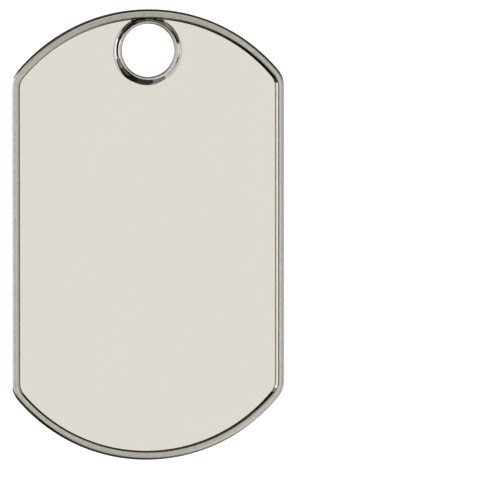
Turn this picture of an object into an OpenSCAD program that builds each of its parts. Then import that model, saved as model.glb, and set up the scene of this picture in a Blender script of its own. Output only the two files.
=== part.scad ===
// Identification dog tag: one steel sheet, its edge rolled over all round and folded flat
// behind, with a raised collar round the hole. The tag lies on its back, hole end towards +Y.
// Lengths are millimetres, angles degrees.

/* [Outline] */
// Length over the rolled edge
tag_l = 50.8; // [44:0.1:58]
// Width over the rolled edge
tag_w = 31.2; // [27:0.1:35]
// Radius of the wide arc at each end
end_r = 19.5; // [18:0.1:24]
// Radius of the corner between a side and an end
corner_r = 3.1; // [2.4:0.1:5]

/* [Sheet] */
// Thickness of the steel sheet
sheet = 0.45; // [0.35:0.01:0.5]
// Depth of the face below the top of the rim
recess = 0.5; // [0.35:0.01:0.65]
// Gap between the folded hem and the back of the face
seam = 0.05; // [0.03:0.01:0.15]

/* [Rolled rim] */
// Radius of the rim's outer edge, front and back
edge_r = 0.33; // [0.25:0.01:0.5]
// Width of the flat satin land on top of the rim
land_w = 0.45; // [0.38:0.01:0.8]
// Width of the slope from the land down to the face
slope_w = 0.34; // [0.3:0.01:0.6]
// Radius where the land turns into the slope
shoulder_r = 0.16; // [0.05:0.01:0.2]
// Radius where the slope runs out into the face
foot_r = 0.12; // [0.05:0.01:0.16]
// Width of the folded hem on the back
hem_w = 1.5; // [1.4:0.01:1.8]
// Radius that takes the burr off the hem's raw edge
burr_r = 0.1; // [0.05:0.01:0.15]

/* [Hole] */
// Diameter of the hole
hole_d = 5.9; // [4:0.1:6.5]
// Centre of the hole below the top of the tag
hole_inset = 4.7; // [4.5:0.1:8]
// Width of the collar's lip, from the hole to the slope
lip_w = 0.36; // [0.3:0.01:0.6]
// Radius of the lip's edge inside the hole
lip_edge_r = 0.18; // [0.1:0.01:0.25]
// Width of the slope from the lip down to the face
collar_w = 0.6; // [0.5:0.01:0.9]
// Radius where the lip turns into the slope
collar_shoulder_r = 0.18; // [0.1:0.01:0.25]
// Radius where the collar's slope runs out into the face
collar_foot_r = 0.28; // [0.15:0.01:0.4]
// Radius of the hole's edge on the back
back_edge_r = 0.3; // [0.15:0.01:0.33]

/* [Hidden] */
$fn = 128;
// Flats that draw each small bend of the sheet
bend_steps = 6;
// Overlap of solids that are fused into one
lap = 0.3;
// Angle kept free where an arc would otherwise run on to the next face
spare_deg = 2;
// Heights above the surface that the tag lies on
back_z = sheet + seam;
face_z = back_z + sheet;
rim_z = face_z + recess;
// Arc centres on the long axis, and the corners' centres
end_y = tag_l / 2 - end_r;
corner_x = tag_w / 2 - corner_r;
corner_y = end_y + sqrt(pow(end_r - corner_r, 2) - pow(corner_x, 2));
// Grid for the points of the rolled section, so that they are the same in every stretch
grid = 0.001;
// How far in the rolled section is carried before the plain face takes over
rim_w = edge_r + land_w + slope_w;
reach = max(rim_w, hem_w) + lap;
// Hole and collar
hole_r = hole_d / 2;
hole_y = tag_l / 2 - hole_inset;
lip_r = hole_r + lip_w;
collar_r = lip_r + collar_w;
// Outer edge to where the collar may start: under the slope, and always outside its own lip
collar_inset = min(edge_r + land_w, hole_inset - lip_r - lap);

// Points along a bend round the centre c, from angle a to angle b
function bend(c, r, a, b) =
    [for (i = [0:bend_steps]) let (t = a + (b - a) * i / bend_steps) c + r * [cos(t), sin(t)]];

// Angle of the straight stretch in a step that falls by drop over run, with a bend at each end
function step_deg(run, drop, bends) =
    asin(bends / norm([run, bends - drop])) - atan2(bends - drop, run);

// Upper side of a step, from its top edge at the point p to its foot
function step_down(p, run, drop, top_r, low_r) =
    let (a = step_deg(run, drop, top_r + low_r))
    concat(
        bend(p - [0, top_r], top_r, 90, 90 - a),
        bend(p + [run, low_r - drop], low_r, 270 - a, 270)
    );

// Underside of the rim's slope, one sheet below it, from the back of the face up into the fold.
// Its arc stops just short of the height of the land's underside.
function slope_under() =
    let (
        low_r = foot_r + sheet,
        a = min(step_deg(slope_w, recess, shoulder_r + foot_r), acos(1 - recess / low_r) - spare_deg),
        low = bend([rim_w, face_z + foot_r], low_r, 270, 270 - a),
        last = low[bend_steps],
        rise = rim_z - sheet - last[1]
    )
    concat(low, [last + [-rise / tan(a), rise]]);

// A length moved to the grid
function snap(length) = round(length / grid) * grid;

// The sheet cut across its rolled edge: x runs in from the outer edge, y is height
function rolled_section() = concat(
    [[reach, back_z]],
    slope_under(),
    [[sheet, rim_z - sheet], [sheet, sheet]],
    bend([hem_w - burr_r, sheet - burr_r], burr_r, 90, 0),
    bend([hem_w - burr_r, burr_r], burr_r, 0, -90),
    bend([edge_r, edge_r], edge_r, 270, 180),
    bend([edge_r, rim_z - edge_r], edge_r, 180, 90),
    step_down([edge_r + land_w, rim_z], slope_w, recess, shoulder_r, foot_r),
    [[reach, face_z]]
);

// The rolled section drawn at a distance out from an axis, ready to be carried round it
module section_at(r) {
    polygon([for (p = rolled_section()) [r - snap(p[0]), snap(p[1])]]);
}

// Space of the straight sides
module side_zone() {
    cube([2 * tag_w, 2 * corner_y, tag_w], center = true);
}

// Space of one end arc: a wedge from its centre out through the two corners' centres
module end_zone() {
    far_x = 3 * corner_x;
    far_y = end_y + 3 * (corner_y - end_y);
    linear_extrude(height = tag_w, center = true)
        polygon([[0, end_y], [far_x, far_y], [-far_x, far_y]]);
}

// Straight side
module side() {
    intersection() {
        rotate([90, 0, 0])
            linear_extrude(height = tag_l, center = true)
                section_at(tag_w / 2);
        side_zone();
    }
}

// Wide arc at one end
module end_arc() {
    intersection() {
        translate([0, end_y, 0])
            rotate_extrude()
                section_at(end_r);
        end_zone();
    }
}

// Corner between a side and an end arc. Its centre is placed by a shift on the grid and a
// fine one after it, which keeps every digit of where the arcs touch.
module corner() {
    difference() {
        translate([corner_x, snap(corner_y), 0])
            translate([0, corner_y - snap(corner_y), 0])
                rotate_extrude()
                    section_at(corner_r);
        side_zone();
        end_zone();
    }
}

// Rolled edge all round the tag
module rolled_edge() {
    for (left = [0, 1])
        mirror([left, 0, 0]) {
            side();
            for (low = [0, 1])
                mirror([0, low, 0])
                    corner();
        }
    for (low = [0, 1])
        mirror([0, low, 0])
            end_arc();
}

// Outline of the tag moved in by an inset, with plain corners that stay inside the rolled edge
module outline(inset) {
    intersection() {
        square([tag_w - 2 * inset, tag_l], center = true);
        union() {
            square([tag_w, 2 * end_y], center = true);
            for (end = [-1, 1])
                translate([0, end * end_y])
                    circle(r = end_r - inset);
        }
    }
}

// Flat face inside the rolled edge
module face() {
    translate([0, 0, back_z])
        linear_extrude(height = sheet)
            outline(reach - lap / 2);
}

// Collar drawn up round the hole until its lip is level with the rim
module collar() {
    translate([0, hole_y, 0])
        rotate_extrude()
            polygon(concat(
                [[collar_r + lap, face_z], [collar_r + lap, back_z]],
                bend([hole_r + back_edge_r, back_z + back_edge_r], back_edge_r, 270, 180),
                bend([hole_r + lip_edge_r, rim_z - lip_edge_r], lip_edge_r, 180, 90),
                step_down([lip_r, rim_z], collar_w, recess, collar_shoulder_r, collar_foot_r)
            ));
}

module tag() {
    color([0.84, 0.82, 0.78]) {
        difference() {
            union() {
                rolled_edge();
                face();
            }
            translate([0, hole_y, -lap])
                cylinder(r = hole_r, h = rim_z + 2 * lap);
            translate([0, hole_y, back_z - seam / 2])
                cylinder(r = lip_r, h = rim_z);
        }
        intersection() {
            collar();
            linear_extrude(height = rim_z + lap)
                outline(collar_inset);
        }
    }
}

tag();
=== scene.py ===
import math
import bmesh
import bpy
import numpy as np
from mathutils import Matrix, Vector


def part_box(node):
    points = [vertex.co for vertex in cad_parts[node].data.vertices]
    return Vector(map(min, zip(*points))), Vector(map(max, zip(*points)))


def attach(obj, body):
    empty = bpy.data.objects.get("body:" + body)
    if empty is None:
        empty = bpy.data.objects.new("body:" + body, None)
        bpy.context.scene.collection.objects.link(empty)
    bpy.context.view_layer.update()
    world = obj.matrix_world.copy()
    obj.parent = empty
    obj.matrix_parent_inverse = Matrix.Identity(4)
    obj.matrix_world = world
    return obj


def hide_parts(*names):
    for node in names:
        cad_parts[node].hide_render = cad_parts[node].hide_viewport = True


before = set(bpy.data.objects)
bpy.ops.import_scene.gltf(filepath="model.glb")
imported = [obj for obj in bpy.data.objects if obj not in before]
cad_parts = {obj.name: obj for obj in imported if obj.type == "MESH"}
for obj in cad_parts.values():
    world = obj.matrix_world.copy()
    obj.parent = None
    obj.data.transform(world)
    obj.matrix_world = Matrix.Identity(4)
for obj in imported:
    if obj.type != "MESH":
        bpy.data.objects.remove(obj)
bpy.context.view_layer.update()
tag_low, tag_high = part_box("tag")

# Sizes of the steel in millimetres, as in the part's source
MM = 0.001
HALF_WIDTH = tag_high[0] / MM
HALF_LENGTH = tag_high[1] / MM
RIM_Z = tag_high[2] / MM
END_RADIUS = 19.5
CORNER_RADIUS = 3.1
SHEET = 0.45
SEAM = 0.05
EDGE_RADIUS = 0.33
LAND_WIDTH = 0.45
SLOPE_WIDTH = 0.34
HEM_WIDTH = 1.5
BURR_RADIUS = 0.1
HOLE_RADIUS = 2.95
HOLE_INSET = 4.7
LIP_EDGE_RADIUS = 0.18
COLLAR_WIDTH = 0.6
COLLAR_SHOULDER_RADIUS = 0.18
BACK_EDGE_RADIUS = 0.3
# Heights of the sheet's back and face, and the hole's centre
BACK_Z = SHEET + SEAM
FACE_Z = BACK_Z + SHEET
HOLE = np.array([0, HALF_LENGTH - HOLE_INSET])

# Bends and lip, which the solid has a little wider or tighter
SHOULDER_RADIUS = 0.12
FOOT_RADIUS = 0.08
LIP_WIDTH = 0.28
COLLAR_FOOT_RADIUS = 0.34
# How far the collar's foot is drawn out at its sides, and twice that towards the tag's middle
COLLAR_DRAW = 0.11
# How far in the outer round reaches on the front, where it is flatter than behind
FRONT_ROUND = 0.45
# How far the land and the lip are crowned, and how deep the seam under the hem is drawn
CROWN = 0.008
SEAM_DEPTH = 0.5
# How far further in the rim's shoulder and foot lie: on the sides, at the hole's end, at the other
SIDE_GAIN = (-0.05, -0.04)
HOLE_GAIN = (0.13, 0.08)
FAR_GAIN = (0.1, -0.02)
# Plain strip kept beside each small bend, so that its shading doesn't run out over the flat
STRIP = 0.03

# Where the satin starts and ends, as distances in from the edge: left side, right side, both ends
SATIN_LEFT = (0.28, 0.72)
SATIN_RIGHT = (0.44, 0.73)
SATIN_ENDS = (0.44, 1.055)
# Share of satin on the hole's lip
LIP_SATIN = 0.85
# Share of the outer round's dullness taken away along the left side: a painted highlight in its
# tone, and polished roughness
LEFT_HIGHLIGHT = 0.9
# Where painted shade darkens the corner at the slope's foot, and its share there at the
# hole's end and at the other
FOOT_SHADE = (1.045, 1.125)
END_FOOT_SHADE = (0.7, 0)
# Where a painted dark reflection lies as a line along the right side's shoulder, and the left
# line's share
SHOULDER_LINE = (0.728, 0.832)
LEFT_LINE = 0.4
# Painted shade over the satin at the hole's end and at the other
END_SATIN_SHADE = (0.32, 0.22)
# Share of the collar's slope kept clear of the painted shade in the valley where collar and rim
# meet
CLEAR_SLOPE = 1 / 3
# Width over which a finish fades out, and how far the lip's finishes are moved past its bends
FADE = 0.02
OVERLAP = 0.03

# Columns of the mesh along half an end arc, a corner and half a side
COLUMNS = (110, 30, 40)
# Steps of the mesh round each bend and across each strip of the section
STEPS = {
    "foot": 6, "shoulder": 8, "land": 6, "outer_round": 16, "back_round": 8, "burr": 4,
    "hole_back": 6, "lip_edge": 8, "lip": 4, "collar_shoulder": 8, "collar_foot": 8,
}
# Rows of the mesh across the flat face, and as many across its back
FLAT_ROWS = 3
# Halvings of the interval in which rim and collar are found to be equally high
HALVINGS = 40
# Directions on a drawn section, in degrees
RIGHT, UP, LEFT, DOWN = 0, 90, 180, 270
# Angle from which an edge is drawn sharp, and how close points are merged, in metres
SHARP_ANGLE = math.radians(35)
MERGE = 1e-8

# Tones of the steel: polished, dull, raw cut, and the near-black of painted shade
POLISHED_TONE = (0.84, 0.82, 0.78, 1)
DULL_TONE = (0.62, 0.605, 0.575, 1)
CUT_TONE = (0.5, 0.485, 0.445, 1)
PAINTED_SHADE_TONE = (0.05, 0.043, 0.033, 1)
# Darkest and palest tone of the satin's grain, and what its blotches multiply it by
GRAIN_TONES = ((0.78, 0.745, 0.67, 1), (1, 0.97, 0.89, 1))
BLOTCH_TONES = ((0.9, 0.9, 0.9, 1), (1, 1, 1, 1))
# Roughness of each finish, lowest and highest, and the one roughness of a raw cut
POLISHED_ROUGH = (0.05, 0.09)
DULL_ROUGH = (0.14, 0.22)
SATIN_ROUGH = (0.28, 0.42)
CUT_ROUGH = 0.45
# Lowest and highest share of the painted shade that stays, varying in blotches
PATCHES = (0.92, 1)
# Noise of each finish, its scale in repeats a metre: satin grain a fifth of a millimetre across,
# blotches of the rubbing half a millimetre across, polishing haze 6 mm across, and hairlines
GRAIN = {"Scale": 4800, "Detail": 3, "Roughness": 0.65}
BLOTCH = {"Scale": 1800, "Detail": 2}
HAZE = {"Scale": 160, "Detail": 4}
HAIRS = {"Scale": 1, "Detail": 3}
# Repeats a metre along, across and through the hairlines, and how far they are turned
HAIR_SCALE = (260, 9000, 1000)
HAIR_TURN = math.radians(24)
# Spans of the noise over which tone, blotches, patches and roughness go from one end to the other
GRAIN_SPAN = (0.34, 0.66)
BLOTCH_SPAN = (0.38, 0.62)
PATCH_SPAN = (0.35, 0.65)
ROUGH_SPAN = (0.3, 0.7)
# Heights of the hairlines and of the satin grain, in metres
HAIR_HEIGHT = 3e-7
GRAIN_HEIGHT = 8e-6

# Camera: its tilts from square towards the tag's left and its hole end, its lens and sensor, and
# where the tag's middle stands in the picture
TILT_LEFT = math.radians(10)
TILT_UP = math.radians(3)
LENS = 800
SENSOR = 36
PIXELS_PER_MM = 8.904
PICTURE = (500, 498)
AXIS_PIXEL = (146.4, 234.2)
CLIP = (0.01, 10)

# Floor: half its width in metres, its gap below the tag in millimetres, its paint and own light
FLOOR_HALF = 3
FLOOR_GAP = 0.02
FLOOR_PAINT = (0.9, 0.9, 0.9, 1)
FLOOR_GLOW = 0.8
# Room light that reflections see, and the one that lights everything else
DARK_ROOM = (0.008, 0.008, 0.008, 1)
PALE_ROOM = (0.75, 0.75, 0.75, 1)
# Studio cards: how far they stand from the tag in metres, and their colours
CARD_DISTANCE = 1.3
WHITE = (1, 1, 1)
IVORY = (1, 0.99, 0.947)
AMBER = (1, 0.86, 0.72)
CARD_COLUMNS = ("name", "azimuth", "zenith", "across", "along", "glow", "colour")
CARDS = [
    ("face_card", 0, 11, 44, 22, 0.857, IVORY),
    ("left_softbox", 177, 69, 38, 42, 1.35, WHITE),
    ("left_wall", 178, 25, 44, 34, 0.8, WHITE),
    ("left_fill", 150, 66, 22, 44, 0.35, WHITE),
    ("left_low", 208, 66, 18, 44, 0.06, WHITE),
    ("right_panel", 341, 46, 52, 46, 0.55, WHITE),
    ("right_glow", 341, 62, 54, 14, 0.5, WHITE),
    ("right_strip", 341, 80, 58, 18, 0.6, WHITE),
    ("back_wall", 75, 66, 90, 44, 0.055, AMBER),
    ("front_wall", 301, 66, 26, 44, 0.22, WHITE),
    ("front_low", 272, 66, 26, 44, 0.03, WHITE),
    ("front_high", 288, 31, 30, 20, 0.12, WHITE),
]


def outline():
    """Outer edge of the tag as points and inward normals, clockwise from the middle of the top.

    A quarter is half an end arc, a corner arc and half a side. An arc's points are its centre plus
    its radius times the cosine and sine of evenly spaced angles, and its normals point back along
    them. The other three quarters mirror the first, and alternate ones run backwards.
    """
    end_y = HALF_LENGTH - END_RADIUS
    corner_x = HALF_WIDTH - CORNER_RADIUS
    corner_y = end_y + math.sqrt((END_RADIUS - CORNER_RADIUS) ** 2 - corner_x ** 2)
    turn = math.atan2(corner_y - end_y, corner_x)
    end_columns, corner_columns, side_columns = COLUMNS
    end = np.linspace(math.pi / 2, turn, end_columns, endpoint=False)
    corner = np.linspace(turn, 0, corner_columns, endpoint=False)
    side = np.linspace(corner_y, 0, side_columns + 1)
    facing = np.concatenate([end, corner, 0 * side])
    x = [END_RADIUS * np.cos(end), corner_x + CORNER_RADIUS * np.cos(corner), HALF_WIDTH + 0 * side]
    y = [end_y + END_RADIUS * np.sin(end), corner_y + CORNER_RADIUS * np.sin(corner), side]
    place = [np.concatenate(x), np.concatenate(y)]
    down = np.stack([*place, -np.cos(facing), -np.sin(facing)], axis=1)
    up = down[::-1]
    quarters = [down, up * [1, -1, 1, -1], -down, up * [-1, 1, -1, 1]]
    ring = np.concatenate([quarter[:-1] for quarter in quarters])
    return ring[:, :2], ring[:, 2:]


def bend(centre, radius, start, end, steps):
    """Points on an arc: centre plus radius times the cosine and sine of evenly spaced angles.

    A pair of radii makes it a quarter of an ellipse.
    """
    t = np.radians(np.linspace(start, end, steps + 1))
    return centre + np.stack([np.cos(t), np.sin(t)], axis=1) * radius


def slope_angle(run, radii):
    """Angle of the straight stretch in a step from rim to face between two bends of radii in sum.

    The bends' centres lie run across and the radii less the step's height up from each other, and
    the straight touches both bends. So its angle is the arcsine of the radii over the centres'
    distance, less the angle at which the one centre lies above the other.
    """
    rise = radii - (RIM_Z - FACE_Z)
    return math.degrees(math.asin(radii / math.hypot(run, rise)) - math.atan2(rise, run))


def crowned(start, end, steps):
    """Strip at the rim's height, less the crown times the square of the way from its middle."""
    u = np.linspace(-1, 1, steps + 1)
    across = (start + end) / 2 + u * (end - start) / 2
    return np.stack([across, RIM_Z - CROWN * u ** 2], axis=1)


def rim_top():
    """Front of the rolled edge as distances in and heights: foot, slope, shoulder, land and round.

    Foot and shoulder are arcs joined by the straight slope, the land is a crowned strip, and the
    outer round is a quarter of an ellipse.
    """
    land_end = EDGE_RADIUS + LAND_WIDTH
    slope_end = land_end + SLOPE_WIDTH
    land_z = RIM_Z - CROWN
    steep = slope_angle(SLOPE_WIDTH, SHOULDER_RADIUS + FOOT_RADIUS)
    foot = (slope_end, FACE_Z + FOOT_RADIUS)
    shoulder = (land_end, land_z - SHOULDER_RADIUS)
    outer = (FRONT_ROUND, land_z - EDGE_RADIUS)
    return np.concatenate([
        [[slope_end + STRIP, FACE_Z]],
        bend(foot, FOOT_RADIUS, DOWN, DOWN - steep, STEPS["foot"]),
        bend(shoulder, SHOULDER_RADIUS, UP - steep, UP, STEPS["shoulder"])[:-1],
        crowned(land_end, FRONT_ROUND, STEPS["land"]),
        bend(outer, (FRONT_ROUND, EDGE_RADIUS), UP, LEFT, STEPS["outer_round"])[1:],
    ])


def rim_back():
    """Rolled edge behind as distances in and heights: back round, hem, its raw edge and the seam.

    The back round and the two bends that take the burr off the raw edge are arcs.
    """
    hem = HEM_WIDTH - BURR_RADIUS
    seam_end = HEM_WIDTH - SEAM_DEPTH
    return np.concatenate([
        bend((EDGE_RADIUS, EDGE_RADIUS), EDGE_RADIUS, LEFT, DOWN, STEPS["back_round"]),
        bend((hem, BURR_RADIUS), BURR_RADIUS, DOWN, DOWN + 90, STEPS["burr"]),
        bend((hem, SHEET - BURR_RADIUS), BURR_RADIUS, RIGHT, UP, STEPS["burr"]),
        [[seam_end, SHEET], [seam_end, BACK_Z], [HEM_WIDTH + STRIP, BACK_Z]],
    ])


def collar():
    """Hole's edge as radii and heights: back round, wall, lip, shoulder, slope and foot.

    The bends are arcs, joined by the straight wall and slope, and the lip is a crowned strip.
    """
    back_edge = HOLE_RADIUS + BACK_EDGE_RADIUS
    lip_start = HOLE_RADIUS + LIP_EDGE_RADIUS
    lip_end = HOLE_RADIUS + LIP_WIDTH
    foot_end = lip_end + COLLAR_WIDTH
    lip_z = RIM_Z - CROWN
    steep = slope_angle(COLLAR_WIDTH, COLLAR_SHOULDER_RADIUS + COLLAR_FOOT_RADIUS)
    back = (back_edge, BACK_Z + BACK_EDGE_RADIUS)
    lip_edge = (lip_start, lip_z - LIP_EDGE_RADIUS)
    shoulder = (lip_end, lip_z - COLLAR_SHOULDER_RADIUS)
    foot = (foot_end, FACE_Z + COLLAR_FOOT_RADIUS)
    return np.concatenate([
        [[back_edge + STRIP, BACK_Z]],
        bend(back, BACK_EDGE_RADIUS, DOWN, LEFT, STEPS["hole_back"]),
        bend(lip_edge, LIP_EDGE_RADIUS, LEFT, UP, STEPS["lip_edge"])[:-1],
        crowned(lip_start, lip_end, STEPS["lip"]),
        bend(shoulder, COLLAR_SHOULDER_RADIUS, UP, UP - steep, STEPS["collar_shoulder"])[1:],
        bend(foot, COLLAR_FOOT_RADIUS, DOWN - steep, DOWN, STEPS["collar_foot"]),
        [[foot_end + STRIP, FACE_Z]],
    ])


def height(profile, at):
    """Height of a profile at each distance, by straight lines between its points."""
    order = np.argsort(profile[:, 0], kind="stable")
    return np.interp(at, profile[order, 0], profile[order, 1])


def blend(side, end, ends):
    """Value that goes from the side's to the end's as the share ends goes from zero to one."""
    return side * (1 - ends) + end * ends


def widened(profile, ends, far):
    """Distances in of a rim profile, moved by the gains of the sides and of the two ends.

    The shoulder's gain grows in over the land's width and turns into the foot's over the slope's.
    The share ends is one where the edge faces along the tag, and far is true at the end that has
    no hole.
    """
    at = profile[:, :1]
    land_end = EDGE_RADIUS + LAND_WIDTH
    land = np.clip((at - FRONT_ROUND) / (land_end - FRONT_ROUND), 0, 1)
    slope = np.clip((at - land_end) / SLOPE_WIDTH, 0, 1)
    shoulder_gain = blend(SIDE_GAIN[0], np.where(far, FAR_GAIN[0], HOLE_GAIN[0]), ends)
    foot_gain = blend(SIDE_GAIN[1], np.where(far, FAR_GAIN[1], HOLE_GAIN[1]), ends)
    return at + shoulder_gain * land + (foot_gain - shoulder_gain) * slope


def valley(edge, inward, rim, ring):
    """Distance in from the edge at which rim and collar are equally high, by halving an interval.

    Where the two stay apart it is the outer end of the rim's foot strip.
    """
    start = np.full(len(edge), EDGE_RADIUS + LAND_WIDTH)
    end = np.full(len(edge), rim[0, 0])
    apart = np.linalg.norm(edge + inward * end[:, None] - HOLE, axis=1) >= ring[-1, 0]
    for _ in range(HALVINGS):
        middle = (start + end) / 2
        reach = np.linalg.norm(edge + inward * middle[:, None] - HOLE, axis=1)
        rim_above = height(rim, middle) > height(ring, reach)
        start = np.where(rim_above, middle, start)
        end = np.where(rim_above, end, middle)
    return np.where(apart, rim[0, 0], end)


def held(at, level, limit, profile):
    """Rows of distances and heights, those past a column's limit held on the profile there."""
    return np.minimum(at, limit), np.where(at > limit, height(profile, limit), level)


def points(start, way, at, level):
    """Grid of points: start plus way times the distance, at the level's height."""
    flat = start + way * at[..., None]
    return np.concatenate([flat, np.broadcast_to(level, at.shape)[..., None]], axis=2)


def between(start, end):
    """Rows that lie evenly between two rows of points, without the two themselves."""
    u = np.linspace(0, 1, FLAT_ROWS + 2)[1:-1, None, None]
    return start * (1 - u) + end * u


def tag_surface():
    """The whole steel as one closed grid, rows round its section and columns round its outline.

    A rim row's point is the outline's plus the inward normal times the row's distance in. A collar
    row's is the hole's centre plus the ray to the column's foot times the row's radius, with the
    slope drawn out by up to COLLAR_DRAW times one less the ray's y. Near the top, where rim and
    collar meet, rows past the valley stop on it. The grid closes on itself both ways, so it is a
    ring with one hole. Its finishes and painted shade come with it.
    """
    edge, inward = outline()
    rim, back, ring = rim_top(), rim_back(), collar()
    front_ring = ring[np.argmax(ring[:, 1] > RIM_Z - CROWN - LIP_EDGE_RADIUS):]
    ends = inward[:, 1] ** 2
    rim_in = widened(rim, ends, inward[:, 1] > 0)
    back_in = back[:, :1] + 0 * ends
    end_rim = np.concatenate([widened(rim, 1, False), rim[:, 1:]], axis=1)
    stop = valley(edge, inward, end_rim, front_ring)
    near = stop < end_rim[0, 0]
    away = edge + inward * stop[:, None] - HOLE
    reach = np.linalg.norm(away, axis=1)
    ray = away / reach[:, None]

    at, level = held(rim_in, rim[:, 1:], np.where(near, stop, np.inf), end_rim)
    rim_grid = points(edge, inward, at, level)
    back_grid = points(edge, inward, back_in, back[:, 1:])

    radius, level = held(ring[:, :1], ring[:, 1:], np.where(near, reach, np.inf), front_ring)
    slope = np.clip((radius - HOLE_RADIUS - LIP_WIDTH) / COLLAR_WIDTH, 0, 1)
    in_front = ring[:, 1:] > BACK_Z + SHEET / 2
    drawn = COLLAR_DRAW * slope * in_front * np.where(near, 0, 1 - ray[:, 1])
    ring_grid = points(HOLE, ray, radius + drawn, level)

    rows = np.concatenate([
        ring_grid,
        between(ring_grid[-1], rim_grid[0]),
        rim_grid,
        back_grid,
        between(back_grid[-1], ring_grid[0]),
    ])
    return rows, *finishes_and_shade(inward, near, ring, rim, rim_in, back)


def band(at, start, end):
    """One where a distance lies between start and end, fading out over a hair's breadth."""
    return np.clip((at - start) / FADE + 0.5, 0, 1) * np.clip((end - at) / FADE + 0.5, 0, 1)


def finishes_and_shade(inward, near, ring, rim, rim_in, back):
    """Shares of satin, dull and raw cut steel at each point, and the share of painted shade.

    Each is a band of distances in or of radii, times what the outline's direction leaves of it:
    the square of the normal's y is the share of an end, and the rest is the share of a side.
    """
    ends = inward[:, 1] ** 2
    far = inward[:, 1] > 0
    left = inward[:, 0] > 0

    def spread(*shares):
        """Shares of collar, face, rim, hem and back, each over its own rows of the grid."""
        counts = (len(ring), FLAT_ROWS, len(rim), len(back), FLAT_ROWS)
        return np.concatenate([
            np.broadcast_to(share, (count, len(ends))) for share, count in zip(shares, counts)
        ])

    radius, ring_z = ring[:, :1], ring[:, 1:]
    lip_start = HOLE_RADIUS + LIP_EDGE_RADIUS
    lip_end = HOLE_RADIUS + LIP_WIDTH
    lip = LIP_SATIN * band(radius, lip_start, lip_end + OVERLAP) * (ring_z > FACE_Z)
    satin_start = blend(np.where(left, SATIN_LEFT[0], SATIN_RIGHT[0]), SATIN_ENDS[0], ends)
    satin_end = blend(np.where(left, SATIN_LEFT[1], SATIN_RIGHT[1]), SATIN_ENDS[1], ends)
    land = band(rim_in, satin_start, satin_end)
    satin = spread(lip, 0, land, 0, 0)

    back_row = np.arange(len(ring))[:, None] == 0
    # Painted highlight: along the left side the outer round takes more of the lighter polished tone
    left_highlight = LEFT_HIGHLIGHT * (1 - ends) ** 2 * left
    outer_round = band(rim_in, -np.inf, satin_start) * (1 - left_highlight)
    dull = spread(back_row, 0, outer_round, 1, 1)

    wall = band(radius, 0, lip_start - OVERLAP) * (ring_z > BACK_Z + BACK_EDGE_RADIUS / 2)
    hem = band(back[:, :1], HEM_WIDTH - BURR_RADIUS, HEM_WIDTH + FADE / 2) * (back[:, 1:] < BACK_Z)
    cut = spread(wall, 0, 0, hem, 0)

    # Painted shade on the collar's slope in the valley where collar and rim meet
    wedge = band(radius, lip_end + COLLAR_WIDTH * CLEAR_SLOPE, np.inf) * near
    # Painted shade in the crease at the slope's foot
    corner_share = blend(1, np.where(far, END_FOOT_SHADE[1], END_FOOT_SHADE[0]), ends)
    corner = band(rim[:, :1], *FOOT_SHADE) * corner_share
    # Painted dark reflection along the shoulder, fainter on the left
    line = band(rim_in, *SHOULDER_LINE) * (1 - ends) ** 2 * np.where(left, LEFT_LINE, 1)
    # Painted shade over the satin at both ends
    end_shade = land * ends * np.where(far, END_SATIN_SHADE[1], END_SATIN_SHADE[0])
    # The shade share is painted shade in the creases and over the satin at the ends, and a painted
    # dark reflection along the shoulder
    painted_shade = spread(wedge, 0, np.clip(corner + line + end_shade, 0, 1), 0, 0)
    return np.stack([satin, dull, cut, np.ones_like(cut)], axis=2), painted_shade


def closed_mesh(name, rows, finish, painted_shade):
    """Mesh of a grid that closes both ways, with point attributes for its finishes and painted
    shade.

    Each face joins a point with the next one in its row and with the two below them.
    """
    count, columns, _ = rows.shape
    index = np.arange(count * columns).reshape(count, columns)
    below = np.roll(index, -1, axis=0)
    corners = [index, np.roll(index, -1, axis=1), np.roll(below, -1, axis=1), below]
    quads = np.stack(corners, axis=2).reshape(-1, 4)
    mesh = bpy.data.meshes.new(name)
    mesh.from_pydata((rows.reshape(-1, 3) * MM).tolist(), [], quads.tolist())
    shares = mesh.attributes.new("finish", "FLOAT_COLOR", "POINT")
    shares.data.foreach_set("color", finish.astype(np.float32).ravel())
    # Share of painted shade at each point
    shade_share = mesh.attributes.new("painted_shade", "FLOAT", "POINT")
    shade_share.data.foreach_set("value", painted_shade.astype(np.float32).ravel())
    work = bmesh.new()
    work.from_mesh(mesh)
    bmesh.ops.remove_doubles(work, verts=work.verts, dist=MERGE)
    bmesh.ops.recalc_face_normals(work, faces=work.faces)
    work.to_mesh(mesh)
    work.free()
    mesh.shade_smooth()
    mesh.set_sharp_from_angle(angle=SHARP_ANGLE)
    piece = bpy.data.objects.new(name, mesh)
    bpy.context.scene.collection.objects.link(piece)
    return piece


def fresh_tree(owner):
    """Emptied node tree of a material or a world."""
    owner.use_nodes = True
    owner.node_tree.nodes.clear()
    return owner.node_tree


def plug(tree, socket, value):
    """Link an output to a socket, or set the value that the socket holds."""
    if isinstance(value, bpy.types.NodeSocket):
        tree.links.new(value, socket)
    else:
        socket.default_value = value


def node(tree, kind, sockets, **settings):
    """One shader node with its settings, and its sockets plugged by name or number."""
    made = tree.nodes.new(kind)
    for name, value in settings.items():
        setattr(made, name, value)
    for key, value in sockets.items():
        plug(tree, made.inputs[key], value)
    return made


def attribute(tree, name, output):
    """Output of a node that reads one of the mesh's own attributes."""
    return node(tree, "ShaderNodeAttribute", {}, attribute_name=name).outputs[output]


def noise(tree, place, sizes):
    """Noise texture of the given sizes at a place."""
    return node(tree, "ShaderNodeTexNoise", {"Vector": place, **sizes}).outputs["Fac"]


def product(tree, first, second):
    """Product of two values."""
    made = node(tree, "ShaderNodeMath", {0: first, 1: second}, operation="MULTIPLY")
    return made.outputs["Value"]


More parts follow.
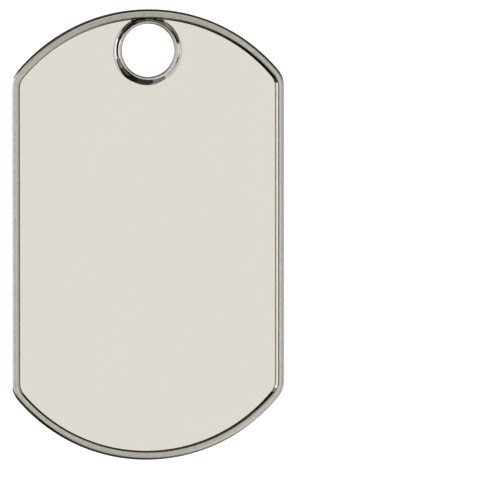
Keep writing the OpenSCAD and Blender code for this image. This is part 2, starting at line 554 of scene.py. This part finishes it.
def mixed(tree, kind, factor, low, high, **settings):
    """Result of a Mix node that goes from low to high as its factor goes from zero to one."""
    made = node(tree, "ShaderNodeMix", {}, data_type=kind, **settings)
    ends = [socket for socket in made.inputs if socket.enabled and socket.name in ("A", "B")]
    for socket, value in zip([made.inputs[0], *ends], [factor, low, high]):
        plug(tree, socket, value)
    return next(socket for socket in made.outputs if socket.enabled)


def ranged(tree, source, span, low, high):
    """Map Range node that carries a span of the source to the values from low to high."""
    ends = {"From Min": span[0], "From Max": span[1], "To Min": low, "To Max": high}
    return node(tree, "ShaderNodeMapRange", {"Value": source, **ends}).outputs["Result"]


def ramp(tree, source, span, tones):
    """Colour ramp over a span of the source, from one tone to the other."""
    made = node(tree, "ShaderNodeValToRGB", {"Fac": source})
    for element, position, tone in zip(made.color_ramp.elements, span, tones):
        element.position = position
        element.color = tone
    return made.outputs["Color"]


def shader_mix(tree, factor, first, second):
    """Shader that goes from the first to the second as the factor goes from zero to one."""
    return node(tree, "ShaderNodeMixShader", {0: factor, 1: first, 2: second}).outputs["Shader"]


def steel():
    """Polished steel whose finish shares mix in satin, dull and raw cut steel, and painted shade.
    """
    material = bpy.data.materials.new("polished_steel")
    tree = fresh_tree(material)
    finish = attribute(tree, "finish", "Color")
    satin, dull, cut = node(tree, "ShaderNodeSeparateColor", {"Color": finish}).outputs
    place = node(tree, "ShaderNodeTexCoord", {}).outputs["Object"]
    turned = {"Vector": place, "Rotation": (0, 0, HAIR_TURN), "Scale": HAIR_SCALE}
    hair_place = node(tree, "ShaderNodeMapping", turned).outputs["Vector"]
    grain = noise(tree, place, GRAIN)
    blotch = noise(tree, place, BLOTCH)
    haze = noise(tree, place, HAZE)
    hairs = noise(tree, hair_place, HAIRS)

    rubbed = ramp(tree, grain, GRAIN_SPAN, GRAIN_TONES)
    blotched = ramp(tree, blotch, BLOTCH_SPAN, BLOTCH_TONES)
    satin_tone = mixed(tree, "RGBA", 1, rubbed, blotched, blend_type="MULTIPLY")
    patches = ranged(tree, blotch, PATCH_SPAN, *PATCHES)
    # Painted shade: a near-black tone mixed in where the shade share lies
    shade_share = product(tree, attribute(tree, "painted_shade", "Fac"), patches)
    tone = mixed(tree, "RGBA", dull, POLISHED_TONE, DULL_TONE)
    tone = mixed(tree, "RGBA", satin, tone, satin_tone)
    tone = mixed(tree, "RGBA", cut, tone, CUT_TONE)
    tone = mixed(tree, "RGBA", shade_share, tone, PAINTED_SHADE_TONE)

    polished_rough = ranged(tree, haze, ROUGH_SPAN, *POLISHED_ROUGH)
    dull_rough = ranged(tree, haze, ROUGH_SPAN, *DULL_ROUGH)
    satin_rough = ranged(tree, grain, ROUGH_SPAN, *SATIN_ROUGH)
    rough = mixed(tree, "FLOAT", dull, polished_rough, dull_rough)
    rough = mixed(tree, "FLOAT", satin, rough, satin_rough)
    rough = mixed(tree, "FLOAT", cut, rough, CUT_ROUGH)

    scratched = {"Height": hairs, "Strength": 1, "Distance": HAIR_HEIGHT}
    normal = node(tree, "ShaderNodeBump", scratched).outputs["Normal"]
    grained = {"Height": product(tree, grain, satin), "Strength": 1, "Distance": GRAIN_HEIGHT}
    normal = node(tree, "ShaderNodeBump", {**grained, "Normal": normal}).outputs["Normal"]

    skin = {"Base Color": tone, "Metallic": 1, "Roughness": rough, "Normal": normal}
    shader = node(tree, "ShaderNodeBsdfPrincipled", skin).outputs["BSDF"]
    node(tree, "ShaderNodeOutputMaterial", {"Surface": shader})
    return material


def floor_paint():
    """Pale paint with a little light of its own, clear from below."""
    material = bpy.data.materials.new("pale_floor")
    tree = fresh_tree(material)
    paint = node(tree, "ShaderNodeBsdfDiffuse", {"Color": FLOOR_PAINT}).outputs["BSDF"]
    glow = node(tree, "ShaderNodeEmission", {"Strength": FLOOR_GLOW}).outputs["Emission"]
    lit = node(tree, "ShaderNodeAddShader", {0: paint, 1: glow}).outputs["Shader"]
    clear = node(tree, "ShaderNodeBsdfTransparent", {}).outputs["BSDF"]
    below = node(tree, "ShaderNodeNewGeometry", {}).outputs["Backfacing"]
    node(tree, "ShaderNodeOutputMaterial", {"Surface": shader_mix(tree, below, lit, clear)})
    return material


def floor():
    """Plain pale floor, a square just below the tag."""
    z = tag_low[2] - FLOOR_GAP * MM
    ways = [(-1, -1), (1, -1), (1, 1), (-1, 1)]
    mesh = bpy.data.meshes.new("floor")
    mesh.from_pydata([(x * FLOOR_HALF, y * FLOOR_HALF, z) for x, y in ways], [], [(0, 1, 2, 3)])
    mesh.materials.append(floor_paint())
    piece = bpy.data.objects.new("floor", mesh)
    bpy.context.scene.collection.objects.link(piece)
    return piece


def axes_matrix(right, up, back, place):
    """Matrix whose columns are an object's own axes and its place."""
    matrix = Matrix((right, up, back)).transposed().to_4x4()
    matrix.translation = place
    return matrix


def studio_card(name, azimuth, zenith, across, along, glow, colour):
    """Rectangular soft light that faces the tag from a direction, with its sides given as angles.

    Azimuth is measured from +X towards +Y, zenith from straight up, all in degrees. A side is
    twice the distance times the tangent of half its angle. The power is the glow, which is the
    brightness seen in a mirror, times pi times the area.
    """
    a, z = math.radians(azimuth), math.radians(zenith)
    way = Vector((math.sin(z) * math.cos(a), math.sin(z) * math.sin(a), math.cos(z)))
    right = Vector((-math.sin(a), math.cos(a), 0))
    data = bpy.data.lights.new(name, "AREA")
    data.shape = "RECTANGLE"
    data.size = 2 * CARD_DISTANCE * math.tan(math.radians(across / 2))
    data.size_y = 2 * CARD_DISTANCE * math.tan(math.radians(along / 2))
    data.energy = glow * math.pi * data.size * data.size_y
    data.color = colour
    lamp = bpy.data.objects.new(name, data)
    bpy.context.scene.collection.objects.link(lamp)
    lamp.matrix_world = axes_matrix(right, way.cross(right), way, way * CARD_DISTANCE)
    lamp.visible_camera = False
    return lamp


def room():
    """Room light: reflections see the dark studio, everything else sees the pale walls."""
    world = bpy.data.worlds.new("studio")
    bpy.context.scene.world = world
    tree = fresh_tree(world)
    mirrored = node(tree, "ShaderNodeLightPath", {}).outputs["Is Glossy Ray"]
    walls = node(tree, "ShaderNodeBackground", {"Color": PALE_ROOM}).outputs["Background"]
    dark = node(tree, "ShaderNodeBackground", {"Color": DARK_ROOM}).outputs["Background"]
    node(tree, "ShaderNodeOutputWorld", {"Surface": shader_mix(tree, mirrored, walls, dark)})


def camera():
    """Camera off square towards the tag's left and hole end, far away, with the sides upright.

    It stands back from the tag's middle by the picture's real width times lens over sensor, and
    is moved across and down by the pixels from the picture's middle to the tag's.
    """
    data = bpy.data.cameras.new("camera")
    data.lens = LENS
    data.sensor_width = SENSOR
    data.dof.use_dof = False
    data.clip_start, data.clip_end = CLIP
    pixel = MM / PIXELS_PER_MM
    distance = PICTURE[0] * pixel * LENS / SENSOR
    across = (PICTURE[0] / 2 - AXIS_PIXEL[0]) * pixel
    down = (PICTURE[1] / 2 - AXIS_PIXEL[1]) * pixel
    back = Vector((-math.tan(TILT_LEFT), math.tan(TILT_UP), 1)).normalized()
    right = Vector((0, 1, 0)).cross(back).normalized()
    up = back.cross(right)
    eye = bpy.data.objects.new("camera", data)
    bpy.context.scene.collection.objects.link(eye)
    eye.matrix_world = axes_matrix(right, up, back, right * across - up * down + back * distance)
    bpy.context.scene.camera = eye


camera()
bpy.context.scene.view_settings.view_transform = "Standard"
floor()
room()
for card in CARDS:
    studio_card(**dict(zip(CARD_COLUMNS, card)))

piece = closed_mesh("steel_tag", *tag_surface())
piece.data.materials.append(steel())
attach(piece, "root")
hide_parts("tag")
